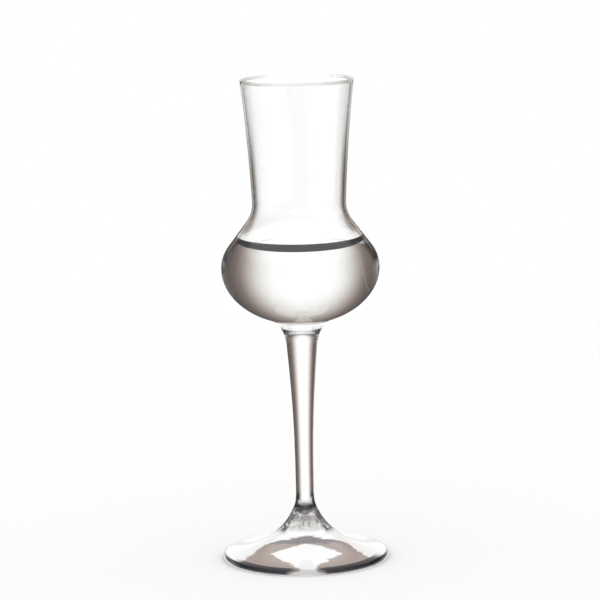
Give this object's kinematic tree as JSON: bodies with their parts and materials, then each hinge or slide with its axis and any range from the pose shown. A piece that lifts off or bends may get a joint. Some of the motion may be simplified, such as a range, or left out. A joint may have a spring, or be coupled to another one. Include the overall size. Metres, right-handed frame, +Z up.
{
  "type": "grappa glass",
  "caption": "Tall stemmed spirit glass with a flared chimney, narrow neck and round bulb on a slender waisted stem and wide foot, holding a clear measure of grappa.",
  "frame": {"origin": "on the table, under the middle of the foot", "axes": "+Z up the axis of the glass, from the foot to the rim; X and Y lie in the table's plane and are alike, because the glass is round"},
  "size_m": [0.058, 0.058, 0.168],
  "materials": {
    "clear_glass": "clear, fire-polished",
    "grappa": "clear liquid with a still surface"
  },
  "bodies": {
    "root": {"bowl": "clear_glass", "stem": "clear_glass", "foot": "clear_glass", "grappa": "grappa"}
  },
  "joints": []
}
